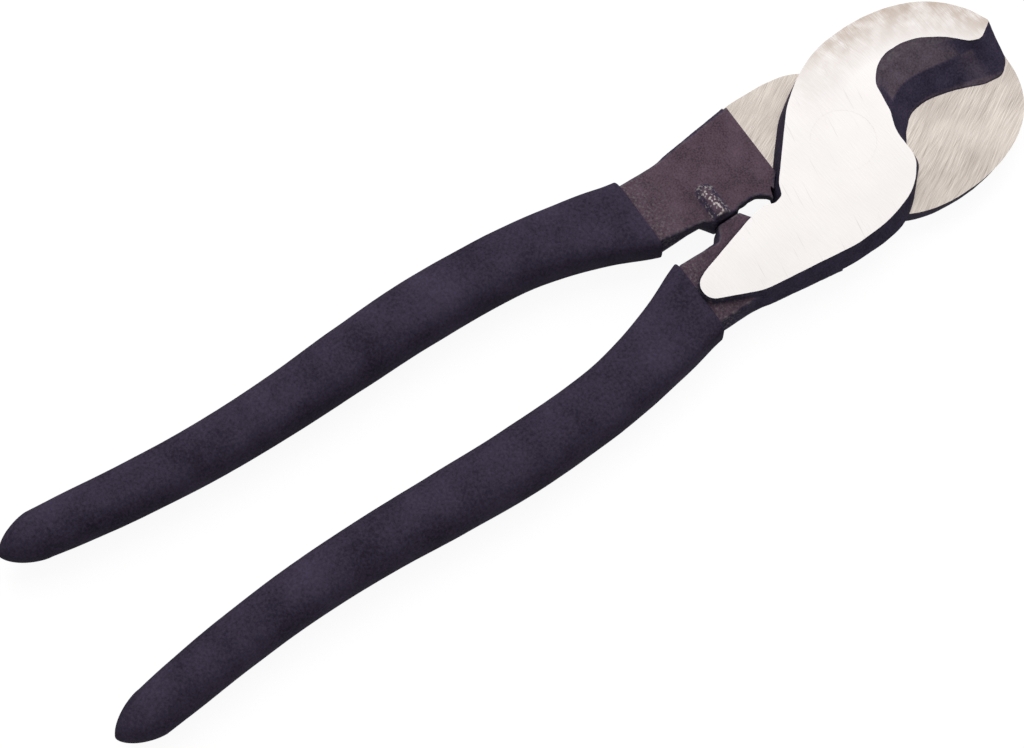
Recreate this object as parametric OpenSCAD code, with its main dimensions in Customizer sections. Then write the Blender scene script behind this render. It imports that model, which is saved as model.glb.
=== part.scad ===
// One-hand cable cutter: two identical forged halves that lap at one flush pivot rivet,
// with a dipped grip on each handle. The rear half is the front half turned over about Y.
// Millimetres. X runs across the tool, +Y from the pivot to the jaws, +Z to the front face.
// The origin is on the pivot's axis, in the ground face of the rear half.

/* [Head] */
// Thickness of one half at its ground face
face_t = 6; // [5.6:0.1:6.4]
// Height of the crease in the jaw bevel, above the mating plane
crease_z = 4; // [3:0.1:4.6]
// Gap between each half and the mating plane
lap_gap = 0.03; // [0.02:0.01:0.05]

/* [Pivot] */
// Radius of the rivet's shank
rivet_r = 6; // [4:0.1:7]
// How far the rivet's flush ends spread beyond its shank
rivet_flare = 1.4; // [0.5:0.1:2]
// Depth of the countersinks that the ends fill
flare_depth = 1.6; // [0.8:0.1:2.4]
// Running clearance of the rivet in the rear half
pivot_clearance = 0.05; // [0.02:0.01:0.08]

/* [Neck] */
// Thickness of the neck between the head and the grip
neck_t = 8; // [7:0.1:9]
// Length of the stop rib across the back of the neck
rib_l = 9.4; // [6:0.1:11]
// Width of the stop rib
rib_w = 5; // [4:0.1:6]
// Height of the stop rib above the neck
rib_h = 1.7; // [1:0.1:2.2]

/* [Grips] */
// Thickness of the vinyl along the handle
grip_wall = 2.2; // [1.6:0.1:2.6]
// Thickness of the vinyl at the grip's mouth
mouth_wall = 1; // [0.9:0.1:1.2]
// Thickness of the vinyl beyond the end of the steel
end_wall = 5; // [3:0.5:8]

/* [Smoothness] */
// Straight steps in each rounded corner of an outline
corner_steps = 6; // [4:1:10]
// Points round the section of a grip
grip_points = 28; // [20:4:40]
// Points round the section of the steel inside it
core_points = 16; // [12:4:24]
// Rings from each station of a grip to the next
grip_rings = 3; // [2:1:4]

/* [Hidden] */

// Every outline is a ring of corners, anticlockwise: x, y and the radius that rounds the corner.

// The ground face: throat, hook, nose, back of the jaw, diagonal heel, crotch, tongue, outer side
face_corners = [
    [12.3, 11.2, 6], [4.3, 11.2, 10], [-0.1, 13.1, 6], [-6.9, 14.2, 5.5], [-12, 18.2, 6],
    [-12, 26.8, 8], [-4.2, 37.8, 3], [-2.9, 40.6, 2.2], [-5.8, 44.9, 0.4],
    [-13.3, 41.4, 12], [-20.1, 32.4, 14], [-22.5, 24.5, 14], [-22.6, 10.8, 14],
    [-18.5, 0.7, 9], [-13.8, -5.9, 20], [0.3, -17.9, 5], [3.1, -19, 1.3], [3.7, -21.2, 0.8],
    [2.8, -23.6, 4], [3.7, -28.5, 20], [8.3, -43.3, 12], [10.1, -46.8, 3.2], [14.5, -46.4, 3.2],
    [19.3, -35, 12], [21.8, -12, 25], [21.3, -3, 12], [18.3, 6.3, 12]
];
// The same corners on the mating plane, where the jaw's part is the cutting edge
mating_corners = [
    [12, 13.2, 4], [6.9, 13.4, 1.5], [4.6, 15, 5], [2.3, 17.5, 5], [0.8, 20.4, 5],
    [1.2, 27.3, 14], [4.9, 36.8, 5], [5.4, 41.4, 3.4], [2.2, 45.1, 4],
    [-9.3, 44.1, 14], [-19.3, 35.7, 12], [-23.5, 24.2, 13], [-23.4, 11.6, 14],
    [-18.9, 0.3, 9], [-14, -7.5, 20], [-0.2, -19.5, 4], [2.3, -20.4, 1], [2.6, -21.8, 0.8],
    [2.2, -24, 4], [3.1, -28.8, 20], [7.7, -43.6, 12], [9.6, -47.4, 3.6], [15, -47, 3.6],
    [20.7, -35, 12], [23.5, -14, 22], [23.1, -3.8, 10], [20.9, 3.4, 7]
];
// The crease of the jaw bevel, which takes the place of corners 2 to 6 at crease_z
crease_first = 2;
crease_corners = [
    [-1, 14.6, 4], [-3.2, 16.4, 4], [-4.6, 20.2, 5], [-4.4, 27.5, 14], [-2.9, 37.6, 2]
];

// The neck and the stop lug on the parting plane, and at the neck's two flats
neck_corners = [
    [23.3, -16.2, 0.3], [6, -16.2, 0.3], [3, -21.5, 1], [2.3, -23.8, 1.5], [1.6, -26.6, 1],
    [0.05, -28.2, 0.5], [0.05, -34.2, 0.5], [2.3, -36.2, 1], [2.6, -49, 0.5],
    [20.8, -49, 0.5], [20.3, -38, 12]
];
neck_flat_corners = [
    [21.9, -16.2, 0.3], [6.6, -16.2, 0.3], [3.6, -21.5, 1], [2.9, -23.8, 1.5], [2.2, -26.6, 1],
    [0.3, -28.4, 0.5], [0.3, -34, 0.5], [2.7, -36.2, 1], [3.1, -49, 0.5],
    [19.5, -49, 0.5], [19, -38, 12]
];
// The spur that carries the neck up beside the other half's heel
spur_corners = [
    [9, -20, 1], [9, -16.2, 0.3], [4.9, -16.2, 0.3], [-0.1, -20.4, 0.4], [2.2, -22.6, 1.6],
    [5, -24, 1]
];

// The grip's rounded end: y where it starts, y of its tip, and the x that it closes on
end_start = -195;
end_tip = -204.4;
end_x = 24;
end_steps = 5;
// Share of a step that is left flat at the tip
end_flat = 0.35;
// The grip's mouth, and where its wall has reached full thickness
mouth_y = -46.8;
full_wall_y = -60;
// Stations down the grip: y, inner x, outer x, thickness, squareness of the section
grip_stations = [
    [mouth_y, 2, 21.8, 9.6, 5], [-50, 3.3, 22.2, 10.2, 4.4], [-58, 6.8, 23.8, 11.6, 3.4],
    [-70, 10.5, 25.9, 13, 2.8], [-82, 12.3, 27.2, 13.7, 2.6], [-100, 12.9, 27.9, 14, 2.5],
    [-118, 12.7, 27, 13.8, 2.5], [-136, 12.4, 25.7, 13.2, 2.5], [-154, 12.8, 25.4, 12.6, 2.5],
    [-172, 14.3, 26.5, 12.2, 2.4], [-186, 16.2, 28, 12, 2.3], [end_start, 17.7, 28.8, 11.6, 2.2]
];

rib_y = -32.2;
rib_x = 0.3;
rib_sides = 48;
pivot_sides = 96;
grip_color = [0.13, 0.11, 0.2];
forged_color = [0.33, 0.3, 0.33];
rivet_color = [0.8, 0.78, 0.76];

function unit(v) = v / norm(v);

// One rounded corner at b, between a and c, as corner_steps straight steps
function corner_arc(a, b, c, r) =
    let (
        to_a = unit(a - b),
        to_c = unit(c - b),
        half_angle = acos(to_a * to_c) / 2,
        centre = b + unit(to_a + to_c) * r / sin(half_angle),
        start = b + to_a * r / tan(half_angle) - centre,
        first = atan2(start[1], start[0]),
        turn = sign(cross(b - a, c - b)) * (180 - 2 * half_angle)
    )
    [for (i = [0 : corner_steps])
        let (angle = first + turn * i / corner_steps)
        centre + r * [cos(angle), sin(angle)]];

function flat_point(corner) = [corner[0], corner[1]];

// A whole outline from its corners
function outline(corners) =
    let (n = len(corners))
    [for (i = [0 : n - 1])
        let (
            a = flat_point(corners[(i + n - 1) % n]),
            b = flat_point(corners[i]),
            c = flat_point(corners[(i + 1) % n])
        )
        each corner_arc(a, b, c, corners[i][2])];

function at_height(points, z) = [for (p = points) [p[0], p[1], z]];

function mix(a, b, share) = a + (b - a) * share;

// Corners at crease_z: on the straight wall between the two outlines, except along the crease
crease_share = crease_z / face_t;
middle_corners = [
    for (i = [0 : len(face_corners) - 1])
        let (k = i - crease_first)
        k >= 0 && k < len(crease_corners)
            ? crease_corners[k]
            : mix(mating_corners[i], face_corners[i], crease_share)
];

// Twice the area of a triangle, positive when it runs anticlockwise
function turn_of(a, b, c) = cross(flat_point(b - a), flat_point(c - a));

function holds(a, b, c, p) =
    turn_of(a, b, p) >= 0 && turn_of(b, c, p) >= 0 && turn_of(c, a, p) >= 0;

// An ear is a corner whose triangle lies inside the outline and holds none of its other points
function is_ear(points, left) =
    let (
        a = points[left[0]],
        b = points[left[1]],
        c = points[left[2]],
        inside = [for (i = [3 : 1 : len(left) - 1]) if (holds(a, b, c, points[left[i]])) i]
    )
    turn_of(a, b, c) > 0 && len(inside) == 0;

function turned(left) = [for (i = [1 : len(left)]) left[i % len(left)]];

// Triangles that fill an outline, cut off ear by ear; left holds the points still to fill
function filled(points, left, done = []) =
    len(left) < 3
        ? done
        : len(left) == 3 || is_ear(points, left)
            ? filled(points, without_second(left), concat(done, [[left[0], left[1], left[2]]]))
            : filled(points, turned(left), done);

function without_second(left) = [for (i = [2 : len(left)]) left[i % len(left)]];

// Walls through rings that all have the same number of points
function walls(n, last) = [
    for (k = [0 : last - 1], i = [0 : n - 1])
        let (j = (i + 1) % n)
        each [
            [k * n + i, (k + 1) * n + i, k * n + j],
            [k * n + j, (k + 1) * n + i, (k + 1) * n + j]
        ]
];

// Solid between outlines at rising heights
module plate(outlines, heights) {
    n = len(outlines[0]);
    last = len(outlines) - 1;
    points = [for (k = [0 : last]) each at_height(outlines[k], heights[k])];
    all = [for (i = [0 : n - 1]) i];
    bottom = filled(outlines[0], all);
    top = [for (t = filled(outlines[last], all)) last * n * [1, 1, 1] + [t[2], t[1], t[0]]];
    polyhedron(points, concat(bottom, top, walls(n, last)), convexity = 8);
}

// Solid through convex sections
module sweep(sections) {
    n = len(sections[0]);
    last = len(sections) - 1;
    first_cap = [for (i = [0 : n - 1]) i];
    last_cap = [for (i = [n - 1 : -1 : 0]) last * n + i];
    points = [for (s = sections) each s];
    polyhedron(points, concat([first_cap, last_cap], walls(n, last)), convexity = 8);
}

// Smooth curve through the stations: the row at share u between rows i and i + 1
function station(rows, i, u) =
    let (
        n = len(rows) - 1,
        a = rows[max(i - 1, 0)],
        b = rows[i],
        c = rows[min(i + 1, n)],
        d = rows[min(i + 2, n)],
        slope = c - a,
        bend = 2 * a - 5 * b + 4 * c - d,
        twist = 3 * b - a - 3 * c + d
    )
    b + (slope * u + bend * pow(u, 2) + twist * pow(u, 3)) / 2;

function all_stations(rows, steps) = [
    for (i = [0 : len(rows) - 2], s = [0 : steps - 1]) station(rows, i, s / steps),
    rows[len(rows) - 1]
];

function power(v, e) = sign(v) * pow(abs(v), e);

// Section of a handle at a station, drawn in by a wall thickness
function section(row, wall, count) =
    let (
        middle = (row[1] + row[2]) / 2,
        half_w = (row[2] - row[1]) / 2 - wall,
        half_t = row[3] / 2 - wall
    )
    [for (k = [0 : count - 1])
        let (angle = 360 * k / count)
        [
            middle + half_w * power(cos(angle), 2 / row[4]),
            row[0],
            half_t * power(sin(angle), 2 / row[4])
        ]];

function wall_at(y) = lookup(y, [[full_wall_y, grip_wall], [mouth_y, mouth_wall]]);

// Stations of the rounded end: the last section shrinks on an ellipse towards the tip
function end_stations(row) = [
    for (k = [1 : end_steps])
        let (
            share = sin(90 * k / (end_steps + end_flat)),
            width = sqrt(1 - share * share)
        )
        [
            mix(end_start, end_tip, share),
            mix(end_x, row[1], width),
            mix(end_x, row[2], width),
            row[3] * width,
            row[4]
        ]
];

module grip_body() {
    last_station = grip_stations[len(grip_stations) - 1];
    rows = concat(all_stations(grip_stations, grip_rings), end_stations(last_station));
    sweep([for (row = rows) section(row, 0, grip_points)]);
}

// The steel inside the grip, which starts within the neck and stops short of the grip's end
module handle_core() {
    steel_end = end_tip + end_wall;
    rows = [for (row = grip_stations) if (row[0] >= steel_end) row];
    sweep([for (row = rows) section(row, wall_at(row[0]), core_points)]);
}

module neck() {
    flat = outline(neck_flat_corners);
    plate([flat, outline(neck_corners), flat], [-neck_t / 2, 0, neck_t / 2]);
    spur = outline(spur_corners);
    plate([spur, spur], [-neck_t / 2, -lap_gap]);
}

module head_plate() {
    plate(
        [outline(mating_corners), outline(middle_corners), outline(face_corners)],
        [lap_gap, crease_z, face_t]
    );
}

// Half-round rib across the back of the neck, with a rounded inner end
module stop_rib() {
    rib_r = rib_w / 2;
    straight_l = rib_l - rib_r;
    translate([rib_x, rib_y, -neck_t / 2 + rib_r - rib_h]) {
        rotate([0, 90, 0]) cylinder(r = rib_r, h = straight_l, $fn = rib_sides);
        translate([straight_l, 0, 0]) sphere(r = rib_r, $fn = rib_sides);
    }
}

// The rivet's hole with its countersink in the ground face, opened out by a clearance
module rivet_hole(clearance) {
    hole_r = rivet_r + clearance;
    over = 1;
    translate([0, 0, -over]) cylinder(r = hole_r, h = face_t + 2 * over, $fn = pivot_sides);
    translate([0, 0, face_t - flare_depth])
        cylinder(r1 = hole_r, r2 = hole_r + rivet_flare, h = flare_depth, $fn = pivot_sides);
}

// One forged half, as it lies in front
module half(clearance) {
    difference() {
        union() {
            head_plate();
            neck();
            stop_rib();
            handle_core();
        }
        rivet_hole(clearance);
    }
}

module grip() {
    difference() {
        grip_body();
        neck();
        handle_core();
    }
}

module turned_over() {
    rotate([0, 180, 0]) children();
}

module on_rear_face() {
    translate([0, 0, face_t]) children();
}

module front_half() {
    color(forged_color) on_rear_face() half(0);
}

module rear_half() {
    color(forged_color) on_rear_face() turned_over() half(pivot_clearance);
}

module pivot_rivet() {
    flare_r = rivet_r + rivet_flare;
    color(rivet_color) {
        cylinder(r = rivet_r, h = 2 * face_t, $fn = pivot_sides);
        cylinder(r1 = flare_r, r2 = rivet_r, h = flare_depth, $fn = pivot_sides);
        translate([0, 0, 2 * face_t - flare_depth])
            cylinder(r1 = rivet_r, r2 = flare_r, h = flare_depth, $fn = pivot_sides);
    }
}

module front_grip() {
    color(grip_color) on_rear_face() grip();
}

module rear_grip() {
    color(grip_color) on_rear_face() turned_over() grip();
}

front_half();
rear_half();
pivot_rivet();
front_grip();
rear_grip();
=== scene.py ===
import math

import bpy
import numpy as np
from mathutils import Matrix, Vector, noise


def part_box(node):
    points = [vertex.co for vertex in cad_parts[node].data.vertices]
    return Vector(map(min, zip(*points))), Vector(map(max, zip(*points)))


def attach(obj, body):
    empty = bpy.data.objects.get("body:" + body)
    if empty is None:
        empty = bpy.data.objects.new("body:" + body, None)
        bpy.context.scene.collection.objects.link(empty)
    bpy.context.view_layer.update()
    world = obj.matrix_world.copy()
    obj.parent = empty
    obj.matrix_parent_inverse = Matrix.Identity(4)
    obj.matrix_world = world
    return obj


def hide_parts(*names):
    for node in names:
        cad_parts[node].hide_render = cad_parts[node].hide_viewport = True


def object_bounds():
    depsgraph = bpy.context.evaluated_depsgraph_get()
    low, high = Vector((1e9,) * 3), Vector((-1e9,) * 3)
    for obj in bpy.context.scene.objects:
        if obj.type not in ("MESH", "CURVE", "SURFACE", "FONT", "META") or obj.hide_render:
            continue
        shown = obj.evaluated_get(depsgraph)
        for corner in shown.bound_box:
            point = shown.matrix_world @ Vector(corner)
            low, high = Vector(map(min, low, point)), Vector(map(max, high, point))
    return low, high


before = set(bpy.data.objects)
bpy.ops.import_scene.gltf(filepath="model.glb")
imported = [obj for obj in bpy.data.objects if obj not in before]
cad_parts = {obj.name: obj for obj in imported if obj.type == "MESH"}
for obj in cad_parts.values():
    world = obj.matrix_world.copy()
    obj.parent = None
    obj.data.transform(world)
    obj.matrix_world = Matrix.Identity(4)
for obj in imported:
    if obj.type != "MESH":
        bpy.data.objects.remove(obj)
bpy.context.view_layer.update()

# Looks of the one-hand cable cutter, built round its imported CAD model.
# The forged halves are solids grown from a distance field, so that every edge and corner of the
# forging is rounded, and then ground and milled flat by cuts, as the real ones are.
# Shapes are worked out in millimetres on one half as it lies in front, with its mating plane at
# z = 0, and then put in the frame: metres, with the mating plane at the middle of the head.

MM = 0.001

# ---------------------------------------------------------------- sizes

FACE_T = 6.0            # thickness of one half at its ground face
CREASE_Z = 4.0          # height of the crease in the jaw bevel
LAP_GAP = 0.03          # from the mating plane to each half
SKIRT = 1.2             # how far the head is forged past the mating plane, before it is milled off
NECK_T = 8.0            # thickness of the neck, half of it on each side of the mating plane
NECK_EDGE_R = 0.5       # rounding of the neck's edges
NECK_FILLET_R = 0.6     # fillet between the head and the neck
SHOULDER_Y = -16.2      # where the neck ends against the other half
NECK_END_Y = -48.7      # where it ends inside the grip, and the steel goes on as a rounded bar
CORE_OVERLAP = 0.9      # how far that bar reaches up into the neck
RIVET_R, RIVET_FLARE, FLARE_DEPTH = 6.0, 1.4, 1.6   # shank, how much wider its ends are, their depth
ARC_X, ARC_Y, ARC_R = 11.4, 17.0, 34.1              # middle and radius of the jaw's outer arc

# Stop rib across the neck's back: where it lies, its inner end, radius, height, length and fillet
RIB_Y, RIB_X, RIB_R, RIB_H, RIB_L = -32.2, 0.3, 2.5, 1.7, 9.4
RIB_FILLET_R, RIB_CUT = 0.9, 0.15       # RIB_CUT is from its inner end to where it is cut off

GRID = 0.3              # step of the distance field, and its lowest and highest corners
FIELD_LOW, FIELD_HIGH = (-25.2, -50.6, -7.0), (25.2, 46.6, 7.4)

# Corners of each outline, anticlockwise: x, y and the radius that rounds the corner. With FLOW for
# its radius, a corner draws one curve from the middle of the edge before to the middle of the next.
FLOW = 0
FACE_CORNERS = [
    (12.3, 11.2, 6), (4.3, 11.2, 10), (-0.1, 13.1, 6), (-6.9, 14.2, 5.5), (-10.7, 17.2, FLOW),
    (-12.1, 22, FLOW), (-11.2, 28.2, FLOW), (-8, 33.8, FLOW), (-4, 37.9, 2.6), (-2.9, 40.6, 2.2),
    (-5.6, 44.8, 0.4),
    (-11.7, 42.1, FLOW), (-18.1, 35.6, FLOW), (-21.6, 27.1, FLOW), (-22.7, 17.8, FLOW), (-21.9, 8.2, FLOW),
    (-18.4, 0.4, FLOW), (-13.6, -5.8, 20), (0.3, -17.9, 5), (3.1, -19, 1.3), (3.7, -21.2, 0.8),
    (2.8, -23.6, 4), (3.7, -28.5, 20), (8.3, -43.3, 12), (10.1, -46.8, 3.2), (14.5, -46.4, 3.2),
    (19.3, -35, 12), (21.8, -12, 25), (21.3, -3, FLOW), (18.3, 6.3, FLOW),
]
MATING_CORNERS = [
    (12, 13.2, 4), (6.9, 13.4, 1.5), (4.6, 15, 5), (2.3, 17.5, 5), (1.1, 19.6, FLOW), (0.7, 23.3, FLOW),
    (1.8, 29, FLOW), (3.3, 33, FLOW), (4.9, 36.8, 5), (5.4, 41.4, 3.4), (2.2, 45.1, 4),
    (-9.2, 44.3, FLOW), (-17.2, 38.8, FLOW), (-22, 29.7, FLOW), (-23.8, 19.2, FLOW), (-23.1, 8.6, FLOW),
    (-19, 0.1, FLOW), (-14, -7.3, 20), (-0.2, -19.5, 4), (2.3, -20.4, 1), (2.6, -21.8, 0.8),
    (2.2, -24, 4), (3.1, -28.8, 20), (7.7, -43.6, 12), (9.6, -47.4, 3.6), (15, -47, 3.6),
    (20.7, -35, 12), (23.5, -14, 22), (23.4, -3.6, FLOW), (21.5, 3.9, FLOW),
]
# The crease of the bevel takes the place of these corners from CREASE_FIRST on
CREASE_FIRST = 2
CREASE_CORNERS = [
    (-0.8, 14.7, 4), (-2.7, 16.4, 4), (-4.1, 18.6, FLOW), (-4.8, 22.4, FLOW), (-4.1, 28.1, FLOW),
    (-3.2, 33.4, FLOW), (-3.1, 37.7, 2.2),
]
# The neck at the mating plane and at its back and front. It runs on above its shoulder here, and the
# milling cut brings it back to the shoulder.
NECK_CORNERS = [
    (23, -15.2, 0.3), (6, -15.2, 0.3), (6, -16.2, 0.3), (3, -21.5, 1), (2.3, -23.8, 1.5),
    (1.6, -26.6, 1), (0.05, -28.2, 0.5), (0.05, -34.2, 0.5), (2.3, -36.2, 1), (2.7, -46.3, 1),
    (4.6, -52, 0.5), (20.4, -52, 0.5), (20.1, -38, 12),
]
NECK_FLAT_CORNERS = [
    (22, -15.2, 0.3), (6.6, -15.2, 0.3), (6.6, -16.2, 0.3), (3.6, -21.5, 1), (2.9, -23.8, 1.5),
    (2.2, -26.6, 1), (0.3, -28.4, 0.5), (0.3, -34, 0.5), (2.7, -36.2, 1), (3.4, -46.3, 1),
    (5.4, -52, 0.5), (19.6, -52, 0.5), (19.3, -38, 12),
]
# The neck's inner side leans over the gap: how far its corners move at the back and the front. The
# move is smaller below LEAN_FULL_X, for the lug, and stops at INNER_SIDE and short of the grip.
LEAN_BACK, LEAN_FRONT, LEAN_FULL_X, INNER_SIDE, LEAN_END_Y = -0.9, 1.1, 2.2, 7.0, -45.0
# The rear neck's spur ends against the front half's wall, and its lower side leans out over the gap
SPUR_CORNERS = [
    (11, -27.5, 1), (11, -14, 0.3), (-4.5, -14, 0.3), (-2.9, -20.3, 0.5), (-1, -20.9, 1.6),
    (0.6, -23.2, 2), (0.7, -26, 1.2), (0.4, -27.8, 0.5),
]
SPUR_LEAN = 0.15        # how far it moves over for each unit of height
WALL_GAP = 0.14         # from either half's wall to the neck beside it
LUG_BELOW_Y = -25.0     # below this each half stays on its own side of the tool, LUG_GAP off the middle
LUG_GAP = 0.05
# Plans of the cuts that leave the ground face and the mating face, and how much deeper the forging is
# cleared below the shoulder, where the other half's neck is beside it
WIDE, LONG = 40, 60
GROUND_PLAN = [(-WIDE, -LONG), (WIDE, -LONG), (WIDE, LONG), (-WIDE, LONG)]
MILLED_PLAN = [(WIDE, SHOULDER_Y), (WIDE, LONG), (-WIDE, LONG), (-WIDE, SHOULDER_Y)]
CLEARED_DEPTH = 0.14
CLEARED_ABOVE, WALL_ABOVE = 1.0, 1.5    # how far above the shoulder that and WALL_GAP begin
BEYOND = 20             # past the forging, where a cut starts

# The skin is uneven, all inwards: depth of its lumps and its grain, and of the pits on the rib
LUMP_DEPTH, GRAIN_DEPTH, PIT_DEPTH = 0.05, 0.02, 0.12

# The grip starts at its mouth, and from END_START on it closes to a tip at END_X, END_SHORT short of
# the CAD grip's tip. The powers shape that end's inner side, outer side and thickness: a power of 1
# makes a cone, and 2 an ellipse.
MOUTH_Y, END_START, END_X, END_SHORT = -46.8, -194.4, 23.8, 0.4
END_POWERS = 1.5, 1.6, 1.9
LIP_R, LIP_DEPTH = 0.5, 2.4     # rounding of the mouth's lip, and how far in its face goes
# The vinyl's wall is thin at the mouth, and thick from THICK_FROM below the pivot
THIN_WALL, THICK_WALL, THICK_FROM = 1.05, 2.2, 60.0
# Stations down the grip: y, inner x, outer x, thickness, squareness of the section
GRIP_STATIONS = [
    (MOUTH_Y, 2, 21.3, 9.6, 5), (-50, 3.3, 21.9, 10.2, 4.4), (-58, 6.8, 23.8, 11.6, 3.4),
    (-70, 10.5, 25.9, 13, 2.8), (-82, 12.3, 27.2, 13.7, 2.6), (-100, 12.9, 27.9, 14, 2.5),
    (-118, 12.7, 27, 13.8, 2.5), (-136, 12.4, 25.7, 13.2, 2.5), (-154, 12.8, 25.4, 12.6, 2.5),
    (-172, 14.3, 26.5, 12.2, 2.4), (-186, 16.2, 28, 12, 2.3), (END_START, 17.7, 28.8, 11.6, 2.2),
]

# ---------------------------------------------------------------- outlines and distance fields


def rounded(corners, steps=9):
    """Points of an outline, its corners rounded by arcs or drawn as flowing curves."""
    points = []
    n = len(corners)
    for i in range(n):
        a, b, c = (np.array(corners[k % n][:2], float) for k in (i - 1, i, i + 1))
        to_a = (a - b) / np.linalg.norm(a - b)
        to_c = (c - b) / np.linalg.norm(c - b)
        half = math.acos(np.clip(to_a @ to_c, -1, 1)) / 2
        middle = (to_a + to_c) / np.linalg.norm(to_a + to_c)
        r = corners[i][2]
        if r == FLOW:
            for k in range(steps + 1):
                t = k / steps
                points.append(((1 - t) ** 2 * (a + b) + 4 * t * (1 - t) * b + t ** 2 * (b + c)) / 2)
            continue
        centre = b + middle * r / math.sin(half)
        start = b + to_a * r / math.tan(half) - centre
        side = math.copysign(1, (b - a)[0] * (c - b)[1] - (b - a)[1] * (c - b)[0])
        first = math.atan2(start[1], start[0])
        for k in range(steps + 1):
            angle = first + side * (math.pi - 2 * half) * k / steps
            points.append(centre + r * np.array([math.cos(angle), math.sin(angle)]))
    return np.array(points)


def plan_distance(corners, x, y):
    """Distance to an outline at each point of a plan grid, negative inside."""
    ring = rounded(corners)
    nearest = np.full(x.shape, 1e9)
    inside = np.zeros(x.shape, bool)
    for (ax, ay), (bx, by) in zip(ring, np.roll(ring, -1, 0)):
        ex, ey = bx - ax, by - ay
        wx, wy = x - ax, y - ay
        t = np.clip((wx * ex + wy * ey) / max(ex * ex + ey * ey, 1e-12), 0, 1)
        nearest = np.minimum(nearest, (wx - ex * t) ** 2 + (wy - ey * t) ** 2)
        if ey != 0:
            inside ^= ((ay > y) != (by > y)) & (x < ax + ex * wy / ey)
    return np.where(inside, -1, 1) * np.sqrt(nearest)


def mix(a, b, share):
    return a + (b - a) * share


def smooth(low, high, value):
    t = np.clip((value - low) / (high - low), 0, 1)
    return t * t * (3 - 2 * t)


def round_union(a, b, r):
    return np.maximum(r, np.minimum(a, b)) - np.hypot(np.maximum(r - a, 0), np.maximum(r - b, 0))


def round_cut(a, b, r):
    """What is inside both, with their common edge rounded."""
    return np.minimum(-r, np.maximum(a, b)) + np.hypot(np.maximum(r + a, 0), np.maximum(r + b, 0))


def true_distance(field):
    """A field divided by its own slope, which makes it a distance near its surface."""
    slope = np.sqrt(sum(g * g for g in np.gradient(field, GRID)))
    return field / np.maximum(slope, 1)


def head_outline(z):
    """Corners of the head's outline at a height. The bevel has one slope below its crease, one above."""
    mating, face = np.array(MATING_CORNERS), np.array(FACE_CORNERS)
    crease = mix(mating, face, CREASE_Z / FACE_T)
    crease[CREASE_FIRST:CREASE_FIRST + len(CREASE_CORNERS)] = CREASE_CORNERS
    if z < CREASE_Z:
        return mix(mating, crease, max(z, 0) / CREASE_Z)
    return mix(crease, face, min((z - CREASE_Z) / (FACE_T - CREASE_Z), 1.1))


def leaned(corners, lean):
    """The neck's outline with its inner side moved over the gap."""
    return [
        (x + lean * min(x / LEAN_FULL_X, 1), y, r) if x < INNER_SIDE and y > LEAN_END_Y else (x, y, r)
        for x, y, r in corners
    ]


def forging_field(spurred):
    """Distance field of a half before it is ground and milled, on a grid in millimetres."""
    axes = [np.arange(lo, hi, GRID) for lo, hi in zip(FIELD_LOW, FIELD_HIGH)]
    px, py = np.meshgrid(axes[0], axes[1], indexing="ij")
    x, y, z = px[:, :, None], py[:, :, None], axes[2][None, None, :]

    # Head: one outline for each level
    level = plan_distance(head_outline(0), px, py)
    head = np.repeat(level[:, :, None], len(axes[2]), 2)
    for k in np.flatnonzero(axes[2] > 0):
        head[:, :, k] = plan_distance(head_outline(axes[2][k]), px, py)
    head = np.maximum(true_distance(head), -SKIRT - z)

    # Neck, with a rounded edge all round, and the spur on its back
    neck, back, front = (
        plan_distance(corners, px, py)[:, :, None] for corners in (
            NECK_CORNERS, leaned(NECK_FLAT_CORNERS, LEAN_BACK), leaned(NECK_FLAT_CORNERS, LEAN_FRONT))
    )
    drawn_in = np.clip(np.abs(z) / (NECK_T / 2), 0, 1)
    sides = true_distance(mix(neck, np.where(z < 0, back, front), drawn_in))
    body = round_cut(sides, np.abs(z) - NECK_T / 2, NECK_EDGE_R)
    if spurred:
        for k in np.flatnonzero((axes[2] < 0) & (axes[2] > -NECK_T / 2 - 1)):
            rise = axes[2][k] + NECK_T / 2
            spur = plan_distance(SPUR_CORNERS, px - SPUR_LEAN * rise, py - SPUR_LEAN * rise)
            body[:, :, k] = np.minimum(body[:, :, k], round_cut(spur, -rise, NECK_EDGE_R))

    # Stop rib: a half-round bar across the back, cut off at the lug
    rib_z = -NECK_T / 2 + RIB_R - RIB_H
    along = np.clip(x, RIB_X, RIB_X + RIB_L - RIB_R)
    rib = np.sqrt((x - along) ** 2 + (y - RIB_Y) ** 2 + (z - rib_z) ** 2) - RIB_R
    rib = round_cut(rib, RIB_X + RIB_CUT - x, NECK_EDGE_R)
    body = round_union(body, rib, RIB_FILLET_R)

    body = round_union(head, body, NECK_FILLET_R)
    body = np.maximum(body, np.where(y < LUG_BELOW_Y, LUG_GAP - x, -9))

    # Room for the head of the other half, which is this one turned over, below the shoulder
    below = axes[1] < SHOULDER_Y + WALL_ABOVE
    for k in np.flatnonzero((axes[2] < 0) & (axes[2] > -FACE_T)):
        wall = plan_distance(head_outline(-axes[2][k]), -px[:, below], py[:, below])
        body[:, below, k] = np.maximum(body[:, below, k], WALL_GAP - wall)
    closed = np.maximum(z - axes[2][-3], NECK_END_Y - y)
    return np.maximum(body, closed), axes


def sample(grid, axes, points):
    """Values of a grid between its points."""
    at = [(points[:, k] - axes[k][0]) / GRID for k in range(3)]
    low = [np.clip(np.floor(a).astype(int), 0, len(axes[k]) - 2) for k, a in enumerate(at)]
    part = [np.clip(a - b, 0, 1) for a, b in zip(at, low)]
    total = 0
    for i in (0, 1):
        for j in (0, 1):
            for k in (0, 1):
                weight = 1
                for step, share in zip((i, j, k), part):
                    weight = weight * (share if step else 1 - share)
                total = total + weight * grid[low[0] + i, low[1] + j, low[2] + k]
    return total


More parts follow.
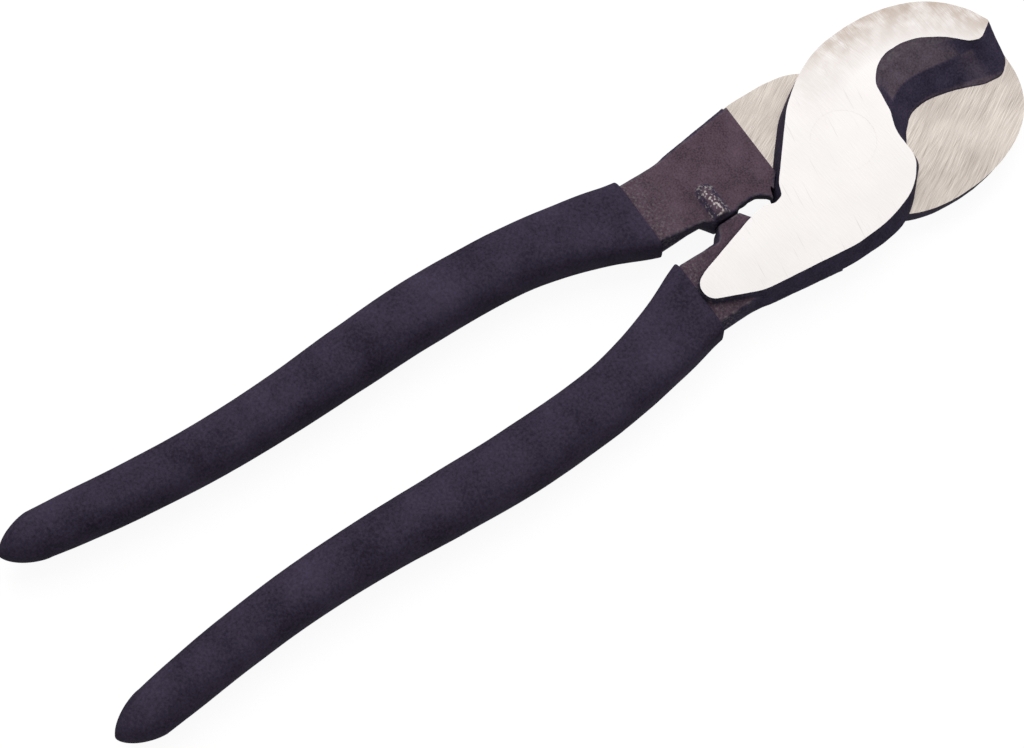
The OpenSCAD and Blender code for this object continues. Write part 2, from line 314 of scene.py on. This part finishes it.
def surface(field, axes):
    """Quads over the field's zero surface: one vertex in each cell that it crosses, then smoothed."""
    inside = field < 0
    shape = np.array(field.shape) - 1
    cells = np.zeros(shape, int)
    for i in (0, 1):
        for j in (0, 1):
            for k in (0, 1):
                cells += inside[i:i + shape[0], j:j + shape[1], k:k + shape[2]]
    where = np.argwhere((cells > 0) & (cells < 8))
    index = np.full(shape, -1)
    index[tuple(where.T)] = np.arange(len(where))

    total, count = np.zeros((len(where), 3)), np.zeros(len(where))
    for axis in range(3):
        u, v = (axis + 1) % 3, (axis + 2) % 3
        for du in (0, 1):
            for dv in (0, 1):
                corner = np.zeros(3, int)
                corner[u], corner[v] = du, dv
                a = field[tuple((where + corner).T)]
                b = field[tuple((where + corner + np.eye(3, dtype=int)[axis]).T)]
                crossed = (a < 0) != (b < 0)
                t = np.where(crossed, a / np.where(crossed, a - b, 1), 0)
                point = corner + t[:, None] * np.eye(3)[axis]
                total += np.where(crossed[:, None], point, 0)
                count += crossed
    low = np.array([a[0] for a in axes])
    points = (where + total / count[:, None]) * GRID + low

    quads = []
    for axis in range(3):
        u, v = (axis + 1) % 3, (axis + 2) % 3
        step, du, dv = np.eye(3, dtype=int)[[axis, u, v]]
        edges = np.argwhere(np.diff(inside.astype(np.int8), axis=axis) != 0)
        edges = edges[(edges[:, u] > 0) & (edges[:, v] > 0)]
        edges = edges[(edges[:, u] < shape[u]) & (edges[:, v] < shape[v])]
        ring = [index[tuple((edges - a * du - b * dv).T)] for a, b in ((0, 0), (1, 0), (1, 1), (0, 1))]
        quad = np.stack(ring, 1)
        leaving = inside[tuple(edges.T)]
        quads.append(np.where(leaving[:, None], quad, quad[:, ::-1]))
    quads = np.concatenate(quads)

    # Each pass evens the mesh out, then puts its points back on the surface
    slopes = np.gradient(field, GRID)
    pairs = np.concatenate([quads[:, [k, (k + 1) % 4]] for k in range(4)])
    for _ in range(4):
        spread = np.zeros_like(points)
        np.add.at(spread, pairs[:, 0], points[pairs[:, 1]])
        np.add.at(spread, pairs[:, 1], points[pairs[:, 0]])
        near = np.bincount(pairs.ravel(), minlength=len(points))
        points = mix(points, spread / near[:, None], 0.5)
        for _ in range(3):
            value = sample(field, axes, points)
            slope = np.stack([sample(g, axes, points) for g in slopes], 1)
            length = np.maximum((slope ** 2).sum(1), 0.05)
            points = points - np.clip(value / length, -GRID, GRID)[:, None] * slope
    return points, quads


# ---------------------------------------------------------------- meshes

ROUND = 128             # sides of the rivet and of its bore


def new_object(name, points, faces):
    mesh = bpy.data.meshes.new(name)
    mesh.from_pydata([tuple(p) for p in points], [], [tuple(int(i) for i in f) for f in faces])
    obj = bpy.data.objects.new(name, mesh)
    bpy.context.scene.collection.objects.link(obj)
    return obj


def boolean(obj, other, operation, keep_other=False):
    """Joins other to obj or takes it away, and applies the result to obj's mesh."""
    modifier = obj.modifiers.new("cut", "BOOLEAN")
    modifier.operation = operation
    modifier.solver = "MANIFOLD"
    modifier.object = other
    bpy.context.view_layer.update()
    evaluated = obj.evaluated_get(bpy.context.evaluated_depsgraph_get())
    made = bpy.data.meshes.new_from_object(evaluated)
    obj.modifiers.clear()
    old = obj.data
    obj.data = made
    bpy.data.meshes.remove(old)
    if not keep_other:
        bpy.data.objects.remove(other)


def paint(obj, *materials):
    obj.data.materials.clear()
    for material in materials:
        obj.data.materials.append(material)


def prism(name, plan, z0, z1):
    n = len(plan)
    points = [(x, y, z0) for x, y in plan] + [(x, y, z1) for x, y in plan]
    sides = [(k, (k + 1) % n, n + (k + 1) % n, n + k) for k in range(n)]
    return new_object(name, points, [tuple(range(n))[::-1], tuple(range(n, 2 * n)), *sides])


def lathe(name, profile, segments):
    """Closed solid of revolution about Z: profile is (radius, z) from the bottom up, off the axis."""
    points, faces = [], []
    for r, z in profile:
        for k in range(segments):
            angle = 2 * math.pi * k / segments
            points.append((r * math.cos(angle), r * math.sin(angle), z))
    for row in range(len(profile) - 1):
        for k in range(segments):
            a, b = row * segments + k, row * segments + (k + 1) % segments
            faces.append((a, b, b + segments, a + segments))
    faces.append(tuple(range(segments))[::-1])
    faces.append(tuple(range((len(profile) - 1) * segments, len(profile) * segments)))
    return new_object(name, points, faces)


def power(v, e):
    return math.copysign(abs(v) ** e, v)


def section(row, wall, count):
    """Points round the handle at a station, drawn in by a wall."""
    y, x_in, x_out, thickness, squareness = row
    half_w, half_t = (x_out - x_in) / 2 - wall, thickness / 2 - wall
    ring = []
    for k in range(count):
        angle = 2 * math.pi * k / count
        x = (x_in + x_out) / 2 + half_w * power(math.cos(angle), 2 / squareness)
        ring.append((x, y, half_t * power(math.sin(angle), 2 / squareness)))
    return ring


def stations(steps):
    """Rows between the given ones on a smooth curve through them."""
    rows = [np.array(r, float) for r in GRIP_STATIONS]
    made = []
    for i in range(len(rows) - 1):
        a, b, c, d = rows[max(i - 1, 0)], rows[i], rows[i + 1], rows[min(i + 2, len(rows) - 1)]
        for s in range(steps):
            u = s / steps
            bend, twist = 2 * a - 5 * b + 4 * c - d, 3 * b - a - 3 * c + d
            made.append(b + ((c - a) * u + bend * u ** 2 + twist * u ** 3) / 2)
    return made + [rows[-1]]


def loft(name, rings):
    n = len(rings[0])
    faces = [tuple(range(n))[::-1]]
    for row in range(len(rings) - 1):
        for k in range(n):
            a, b = row * n + k, row * n + (k + 1) % n
            faces.append((a, b, b + n, a + n))
    faces.append(tuple(range((len(rings) - 1) * n, len(rings) * n)))
    return new_object(name, [p for ring in rings for p in ring], faces)


def half_mesh(spurred, materials):
    """The steel of a half, as it lies in front, in millimetres."""
    field, axes = forging_field(spurred)
    points, quads = surface(field, axes)
    points = rough_skin(points, field, axes)
    obj = new_object("steel", points, quads)
    core = [
        section(row, mix(THIN_WALL, THICK_WALL, smooth(-MOUTH_Y, THICK_FROM, -row[0])), 32)
        for row in stations(3) if row[0] < NECK_END_Y + CORE_OVERLAP
    ]
    boolean(obj, loft("core", core), "UNION")
    boolean(obj, prism("ground", GROUND_PLAN, FACE_T, BEYOND), "DIFFERENCE")
    boolean(obj, prism("milled", MILLED_PLAN, -BEYOND, LAP_GAP), "DIFFERENCE")
    cleared_to = SHOULDER_Y + CLEARED_ABOVE
    cleared_plan = [(-x, y) for x, y in rounded(MATING_CORNERS)[::-1] if y < cleared_to]
    boolean(obj, prism("cleared", cleared_plan, -BEYOND, LAP_GAP + CLEARED_DEPTH), "DIFFERENCE")
    bore = lathe("bore", [
        (RIVET_R, -1), (RIVET_R, FACE_T - FLARE_DEPTH), (RIVET_R + RIVET_FLARE, FACE_T),
        (RIVET_R + RIVET_FLARE, FACE_T + 1),
    ], ROUND)
    boolean(obj, bore, "DIFFERENCE")
    paint(obj, *materials)
    mark_faces(obj)
    mark_wear_and_shade(obj, field, axes)
    return obj


def rough_skin(points, field, axes):
    """The forged skin: shallow lumps everywhere, and pits on the stop rib, all inwards."""
    slope = np.stack([sample(g, axes, points) for g in np.gradient(field, GRID)], 1)
    normal = slope / np.maximum(np.linalg.norm(slope, axis=1), 1e-6)[:, None]
    lumps = np.array([noise.noise(Vector(p) * 0.3) for p in points])
    grain = np.array([noise.noise(Vector(p) * 1.1) for p in points])
    pits = np.array([noise.noise(Vector(p) * 1.7) for p in points])
    depth = LUMP_DEPTH * (lumps + 1) + GRAIN_DEPTH * (grain + 1)
    depth = depth + PIT_DEPTH * rib_mask(points) * (pits + 0.6)
    return points - normal * np.maximum(depth, 0)[:, None]


def rib_mask(points):
    """1 on the stop rib, fading out over its fillet."""
    along = np.clip(points[:, 0], RIB_X, RIB_X + RIB_L - RIB_R)
    away = np.hypot(points[:, 0] - along, points[:, 1] - RIB_Y)
    return (1 - smooth(1.7, 2.9, away)) * smooth(NECK_T / 2 - 0.1, NECK_T / 2 + 0.7, -points[:, 2])


FORGED, GROUND, MILLED = 0, 1, 2     # material slots of a half
SHARP_ANGLE = math.radians(32)
FLAT = 0.999            # least z of the normal of a ground or milled face


def mark_faces(obj):
    """Gives the cut faces their own material slots, and sharp edges where faces meet at an angle."""
    mesh = obj.data
    for face in mesh.polygons:
        radius = math.hypot(face.center.x, face.center.y)
        if face.normal.z > FLAT and face.center.z > FACE_T - 0.01:
            face.material_index = GROUND
        elif face.normal.z < -FLAT and abs(face.center.z - LAP_GAP) < 0.01:
            face.material_index = MILLED
        elif radius < RIVET_R + RIVET_FLARE + 0.01:
            face.material_index = MILLED
        else:
            face.material_index = FORGED
    mesh.shade_smooth()
    mesh.set_sharp_from_angle(angle=SHARP_ANGLE)
    for face in mesh.polygons:
        face.use_smooth = face.material_index == FORGED or abs(face.normal.z) < FLAT


def mark_wear_and_shade(obj, field, axes):
    """Stores at each vertex how convex and how hollow the forging is, its steep sides and its rib:
    masks for edge wear with a painted highlight, for painted shade in the hollows and on steep sides, and
    for the rib's flecks.
    """
    points = np.array([v.co for v in obj.data.vertices])
    slopes = np.gradient(field, GRID)
    bend = sample(sum(np.gradient(g, GRID, axis=k) for k, g in enumerate(slopes)), axes, points)
    upright = np.abs(sample(slopes[2], axes, points))
    rib = rib_mask(points)
    inside_grip = points[:, 1] < MOUTH_Y
    off_cuts = smooth(0.5, 1.2, points[:, 2]) + smooth(0.5, 1.2, -points[:, 2])
    for name, share in (
        ("edge", np.clip(bend / 1.4, 0, 1) * off_cuts),
        # hollow: concave fillets below the shoulder, which the forged material darkens as painted shade
        ("hollow", smooth(0.3, 0.8, -bend) * (points[:, 1] < SHOULDER_Y)),
        # side: steep sides, which the forged material makes darker and bluer as painted shade
        ("side", (1 - smooth(0.83, 0.96, upright)) * (1 - 0.2 * rib)),
        ("rib", rib * smooth(0.5, 0.95, upright)),
    ):
        layer = obj.data.attributes.new(name, "FLOAT", "POINT")
        layer.data.foreach_set("value", np.where(inside_grip, 0, share).astype(np.float32))


def grip_mesh(steel, material):
    """The dipped vinyl on one handle, as it lies in front, in millimetres, fitted round the steel."""
    dense = np.array(stations(10))[::-1]
    points_round, lip_rings, end_rings = 80, 7, 18

    def row_at(y):
        return [y] + [float(np.interp(y, dense[:, 0], dense[:, k])) for k in range(1, 5)]

    rings = [section(row_at(MOUTH_Y), LIP_DEPTH, points_round)]
    for k in range(lip_rings):
        angle = math.pi / 2 * k / (lip_rings - 1)
        row = row_at(MOUTH_Y - LIP_R * (1 - math.cos(angle)))
        rings.append(section(row, LIP_R * (1 - math.sin(angle)), points_round))
    for row in stations(10):
        if row[0] < MOUTH_Y - LIP_R - 0.3:
            rings.append(section(row, 0, points_round))
    last, tip_y = GRIP_STATIONS[-1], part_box("front_grip")[0].y / MM + END_SHORT
    for k in range(1, end_rings + 1):
        share = math.sin(math.pi / 2 * k / end_rings) * 0.998
        inner, outer, thick = ((1 - share ** e) ** (1 / e) for e in END_POWERS)
        row = [mix(END_START, tip_y, share), mix(END_X, last[1], inner), mix(END_X, last[2], outer),
               last[3] * thick, last[4]]
        rings.append(section(row, 0, points_round))
    obj = loft("vinyl", rings)
    for v in obj.data.vertices:
        sag = LUMP_DEPTH * (noise.noise(v.co * 0.13) + 1) + GRAIN_DEPTH * (noise.noise(v.co * 0.5) + 1)
        middle = row_at(v.co.y)
        away = Vector((v.co.x - (middle[1] + middle[2]) / 2, 0, v.co.z))
        v.co -= away.normalized() * sag
    boolean(obj, steel, "DIFFERENCE", keep_other=True)
    paint(obj, material)
    obj.data.shade_smooth()
    obj.data.set_sharp_from_angle(angle=SHARP_ANGLE)
    return obj


def rivet_mesh():
    """The rivet, in the frame: its ends are a hair below the ground faces, and its sides a hair in."""
    seam = 0.007
    wide, top, bottom = RIVET_R + RIVET_FLARE, 2 * FACE_T - seam, seam
    obj = lathe("rivet", [
        (wide - 2 * seam, bottom), (wide - seam, bottom + seam), (RIVET_R - seam, FLARE_DEPTH),
        (RIVET_R - seam, top - FLARE_DEPTH), (wide - seam, top - seam), (wide - 2 * seam, top),
    ], ROUND)
    obj.data.transform(Matrix.Scale(MM, 4))
    obj.data.shade_smooth()
    obj.data.set_sharp_from_angle(angle=SHARP_ANGLE)
    return obj


def placed(obj, name, turned):
    """A copy of a front piece, put in the frame, turned over about Y for the rear."""
    made = bpy.data.objects.new(name, obj.data.copy())
    bpy.context.scene.collection.objects.link(made)
    over = Matrix.Rotation(math.pi, 4, "Y") if turned else Matrix.Identity(4)
    made.data.transform(Matrix.Scale(MM, 4) @ Matrix.Translation((0, 0, FACE_T)) @ over)
    return made


# ---------------------------------------------------------------- materials


class Shader:
    """A material's node tree, built by calls: values and sockets go in, sockets come out."""

    def __init__(self, name):
        self.material = bpy.data.materials.new(name)
        self.material.use_nodes = True
        self.tree = self.material.node_tree
        self.tree.nodes.clear()
        self.place = self.node("ShaderNodeTexCoord").outputs["Object"]

    def node(self, kind, inputs=(), **settings):
        made = self.tree.nodes.new(kind)
        for key, value in settings.items():
            setattr(made, key, value)
        for key, value in dict(inputs).items():
            if isinstance(value, bpy.types.NodeSocket):
                self.tree.links.new(value, made.inputs[key])
            else:
                made.inputs[key].default_value = value
        return made

    def math(self, operation, *values):
        return self.node("ShaderNodeMath", dict(enumerate(values)), operation=operation).outputs[0]

    def noise(self, scale, detail=2.0, place=None, roughness=0.5):
        inputs = {"Vector": place or self.place, "Scale": scale, "Detail": detail, "Roughness": roughness}
        return self.node("ShaderNodeTexNoise", inputs).outputs["Fac"]

    def ramp(self, value, low, high, out_low=0.0, out_high=1.0):
        inputs = {"Value": value, "From Min": low, "From Max": high, "To Min": out_low, "To Max": out_high}
        return self.node("ShaderNodeMapRange", inputs).outputs["Result"]

    def mix(self, share, a, b):
        made = self.node("ShaderNodeMix", data_type="RGBA")
        for socket, value in ((made.inputs[0], share), (made.inputs[6], a), (made.inputs[7], b)):
            if isinstance(value, bpy.types.NodeSocket):
                self.tree.links.new(value, socket)
            elif isinstance(value, (int, float)):
                socket.default_value = value
            else:
                socket.default_value = (*value, 1)
        return made.outputs[2]

    def stretched(self, angle, along, across):
        """Coordinates that run long in one direction of the XY plane, for scratches."""
        turned = self.node(
            "ShaderNodeVectorRotate", {"Vector": self.place, "Angle": angle}, rotation_type="Z_AXIS",
        ).outputs[0]
        scaled = self.node(
            "ShaderNodeVectorMath", {0: turned, 1: (across, along, 1)}, operation="MULTIPLY",
        )
        return scaled.outputs[0]

    def attribute(self, name):
        return self.node("ShaderNodeAttribute", attribute_name=name).outputs["Fac"]

    def bump(self, height, strength, distance):
        inputs = {"Height": height, "Strength": strength, "Distance": distance}
        return self.node("ShaderNodeBump", inputs).outputs[0]

    def finish(self, **inputs):
        surface = self.node("ShaderNodeBsdfPrincipled", {k.replace("_", " "): v for k, v in inputs.items()})
        self.node("ShaderNodeOutputMaterial", {"Surface": surface.outputs[0]})
        return self.material


def forged_steel():
    """Blackened forging: purple-brown, with a flecked rib. Painted shade makes steep sides darker and bluer
    and the hollows darker; edges turn lighter, as wear and as a painted highlight; the rib's flecks are
    bare metal with painted glints.
    """
    s = Shader("forged_black")
    blotches = s.noise(260, 3)
    grain = s.noise(2400, 3, roughness=0.65)
    tone = s.math("ADD", s.math("MULTIPLY", blotches, 0.35), s.math("MULTIPLY", grain, 0.65))
    shade = s.ramp(tone, 0.36, 0.64)
    place = s.node("ShaderNodeSeparateXYZ", {0: s.place}).outputs
    neck = s.mix(shade, (0.080, 0.051, 0.070), (0.190, 0.126, 0.168))
    jaw = s.mix(shade, (0.080, 0.060, 0.080), (0.185, 0.145, 0.192))
    broad = s.mix(s.ramp(place[1], -0.012, -0.004), neck, jaw)
    # Painted shade: a darker, bluer copy of the colour, laid on steep sides by the side attribute.
    painted_steep_shade = s.mix(shade, (0.037, 0.030, 0.057), (0.095, 0.078, 0.134))
    colour = s.mix(s.attribute("side"), broad, painted_steep_shade)
    # Convex edges turn lighter in patches: partly wear on the blackening, partly a painted highlight.
    edge_wear_and_highlight = s.math("MULTIPLY", s.ramp(s.attribute("edge"), 0.35, 0.9), s.ramp(s.noise(700, 3), 0.42, 0.66))
    colour = s.mix(s.math("MULTIPLY", edge_wear_and_highlight, 0.4), colour, (0.27, 0.24, 0.24))
    by_grip = s.math("MULTIPLY", s.ramp(s.noise(1500, 3), 0.50, 0.66), s.ramp(place[1], -0.037, -0.046))
    colour = s.mix(s.math("MULTIPLY", by_grip, 0.5), colour, (0.30, 0.26, 0.27))
    # Painted shade: hollows below the shoulder, by the hollow attribute, are darkened towards dark
    # red-brown.
    colour = s.mix(s.math("MULTIPLY", s.attribute("hollow"), 0.25), colour, (0.030, 0.020, 0.020))
    # Light flecks on the rib's crest, partly metallic: bare metal, with their light colour partly a painted
    # glint.
    flecks_and_glints = s.math("MULTIPLY", s.ramp(s.noise(1500, 3), 0.53, 0.62), s.attribute("rib"))
    colour = s.mix(flecks_and_glints, colour, (0.62, 0.56, 0.55))
    height = s.math("ADD", s.math("MULTIPLY", grain, 0.6), s.math("MULTIPLY", s.noise(1100, 2), 0.6))
    return s.finish(
        Base_Color=colour, Metallic=s.math("MULTIPLY", flecks_and_glints, 0.6),
        Roughness=s.ramp(grain, 0.3, 0.7, 0.5, 0.68), Specular_IOR_Level=0.03,
        Normal=s.bump(height, 0.7, 0.00016),
    )


def bright_steel(name, dark, light, sets, dull, rough):
    """Ground or milled steel. sets: angle, stripes per metre along and across, and share of each set
    of scratches. dull is how far the arc of the jaw is stained."""
    s = Shader(name)
    total = None
    for angle, along, across, share in sets:
        lines = s.math("MULTIPLY", s.noise(1.0, 3, s.stretched(angle, along, across), 0.7), share)
        total = lines if total is None else s.math("ADD", total, lines)
    clouds = s.noise(90, 4)
    tone = s.math("ADD", s.math("MULTIPLY", total, 0.85), s.math("MULTIPLY", clouds, 0.15))
    colour = s.mix(s.ramp(tone, 0.40, 0.60), dark, light)
    deep = s.ramp(s.noise(1.0, 2, s.stretched(sets[0][0] + 0.2, 70, 2100), 0.5), 0.66, 0.74)
    colour = s.mix(s.math("MULTIPLY", deep, 0.35), colour, tuple(0.55 * c for c in dark))

    # The ground face's arc is far from its middle, which lies to one side of the tool by the way the
    # face looks. A milled face has its own arc on the other side, so it shows hardly any of the stain.
    place = s.node("ShaderNodeSeparateXYZ", {0: s.place}).outputs
    looks = s.node("ShaderNodeSeparateXYZ", {0: s.node("ShaderNodeNewGeometry").outputs["Normal"]}).outputs
    across = s.math("SUBTRACT", s.math("MULTIPLY", place[0], looks[2]), ARC_X * MM)
    up = s.math("SUBTRACT", place[1], ARC_Y * MM)
    away = s.math("SQRT", s.math("ADD", s.math("MULTIPLY", across, across), s.math("MULTIPLY", up, up)))
    near_rim = s.ramp(away, (ARC_R - 11) * MM, (ARC_R - 1) * MM)
    arc = s.math("MULTIPLY", near_rim, s.ramp(place[1], -0.006, 0.014))
    streaks = s.math("ADD", s.math("MULTIPLY", total, 0.6), s.math("MULTIPLY", s.noise(300, 4), 0.4))
    stain = s.math("MULTIPLY", s.math("MULTIPLY", arc, s.ramp(streaks, 0.66, 0.44)), dull)
    colour = s.mix(stain, colour, (0.40, 0.335, 0.29))
    return s.finish(
        Base_Color=colour, Metallic=1.0, Roughness=s.ramp(total, 0.3, 0.7, rough, rough + 0.14),
        Normal=s.bump(total, 0.15, 0.00004),
    )


def dipped_vinyl():
    """Black dipped vinyl with a violet cast and a fine sandy skin."""
    s = Shader("dipped_vinyl")
    sand = s.noise(1500, 4, roughness=0.7)
    clouds = s.noise(90, 3)
    tone = s.math("ADD", s.math("MULTIPLY", sand, 0.6), s.math("MULTIPLY", clouds, 0.4))
    colour = s.mix(s.ramp(tone, 0.35, 0.65), (0.029, 0.022, 0.040), (0.092, 0.073, 0.126))
    return s.finish(
        Base_Color=colour, Roughness=s.ramp(sand, 0.3, 0.7, 0.6, 0.78), Specular_IOR_Level=0.05,
        Normal=s.bump(sand, 0.7, 0.0003),
    )


# ---------------------------------------------------------------- camera, floor and light


def make_camera():
    camera = bpy.data.objects.new("camera", bpy.data.cameras.new("camera"))
    bpy.context.scene.collection.objects.link(camera)
    camera.data.lens = 105.47
    camera.data.sensor_width = 36
    camera.location = (0.18794, -0.21491, 0.61884)
    look_at = Vector((0.00287, -0.0904, FACE_T * MM))
    camera.rotation_euler = (look_at - camera.location).to_track_quat("-Z", "Y").to_euler()
    camera.data.clip_start = 0.01
    bpy.context.scene.camera = camera


def make_studio():
    """A plain pale floor, an even white surround and one large soft lamp."""
    size = 6.0
    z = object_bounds()[0].z - 0.0002
    corners = [(-size, -size, z), (size, -size, z), (size, size, z), (-size, size, z)]
    floor = new_object("floor", corners, [(0, 1, 2, 3)])
    s = Shader("pale_floor")
    floor.data.materials.append(s.finish(
        Base_Color=(0.18, 0.18, 0.18, 1), Roughness=0.9, Specular_IOR_Level=0.1,
        Emission_Color=(1, 1, 1, 1), Emission_Strength=0.92,
    ))
    floor.visible_diffuse = False
    floor.visible_glossy = False

    world = bpy.data.worlds.new("surround")
    world.use_nodes = True
    background = world.node_tree.nodes["Background"]
    background.inputs["Color"].default_value = (1, 0.995, 0.99, 1)
    background.inputs["Strength"].default_value = 0.3
    bpy.context.scene.world = world

    lamp = bpy.data.objects.new("soft_lamp", bpy.data.lights.new("soft_lamp", "AREA"))
    bpy.context.scene.collection.objects.link(lamp)
    lamp.data.size = 1.4
    lamp.data.energy = 10.0
    lamp.location = (-0.66, 0.45, 1.02)
    lamp.rotation_euler = (-lamp.location).to_track_quat("-Z", "Y").to_euler()
    bpy.context.scene.view_settings.view_transform = "Standard"


# ---------------------------------------------------------------- the tool

make_camera()

BLACK = forged_steel()
FACE = bright_steel(
    "ground_face", (0.63, 0.605, 0.595), (0.735, 0.71, 0.70),
    [(math.radians(88), 60, 7000, 0.6), (math.radians(70), 50, 6000, 0.4)], 1.0, 0.34,
)
LAPPED = bright_steel(
    "milled_face", (0.24, 0.207, 0.183), (0.75, 0.68, 0.62),
    [
        (math.radians(-30), 60, 9500, 0.45), (math.radians(-36), 50, 12000, 0.3),
        (math.radians(-18), 50, 8000, 0.25),
    ],
    0.15, 0.36,
)
VINYL = dipped_vinyl()

front_steel, rear_steel = (half_mesh(spurred, (BLACK, FACE, LAPPED)) for spurred in (False, True))
vinyl = grip_mesh(front_steel, VINYL)
for body, steel, turned in (("front", front_steel, False), ("rear", rear_steel, True)):
    half = placed(steel, f"{body}_half_steel", turned)
    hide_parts(f"{body}_half")
    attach(half, body)

    grip = placed(vinyl, f"{body}_grip_vinyl", turned)
    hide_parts(f"{body}_grip")
    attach(grip, body)
for spare in (front_steel, rear_steel, vinyl):
    bpy.data.objects.remove(spare)

rivet = rivet_mesh()
paint(rivet, FACE)
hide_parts("pivot_rivet")
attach(rivet, "front")

make_studio()
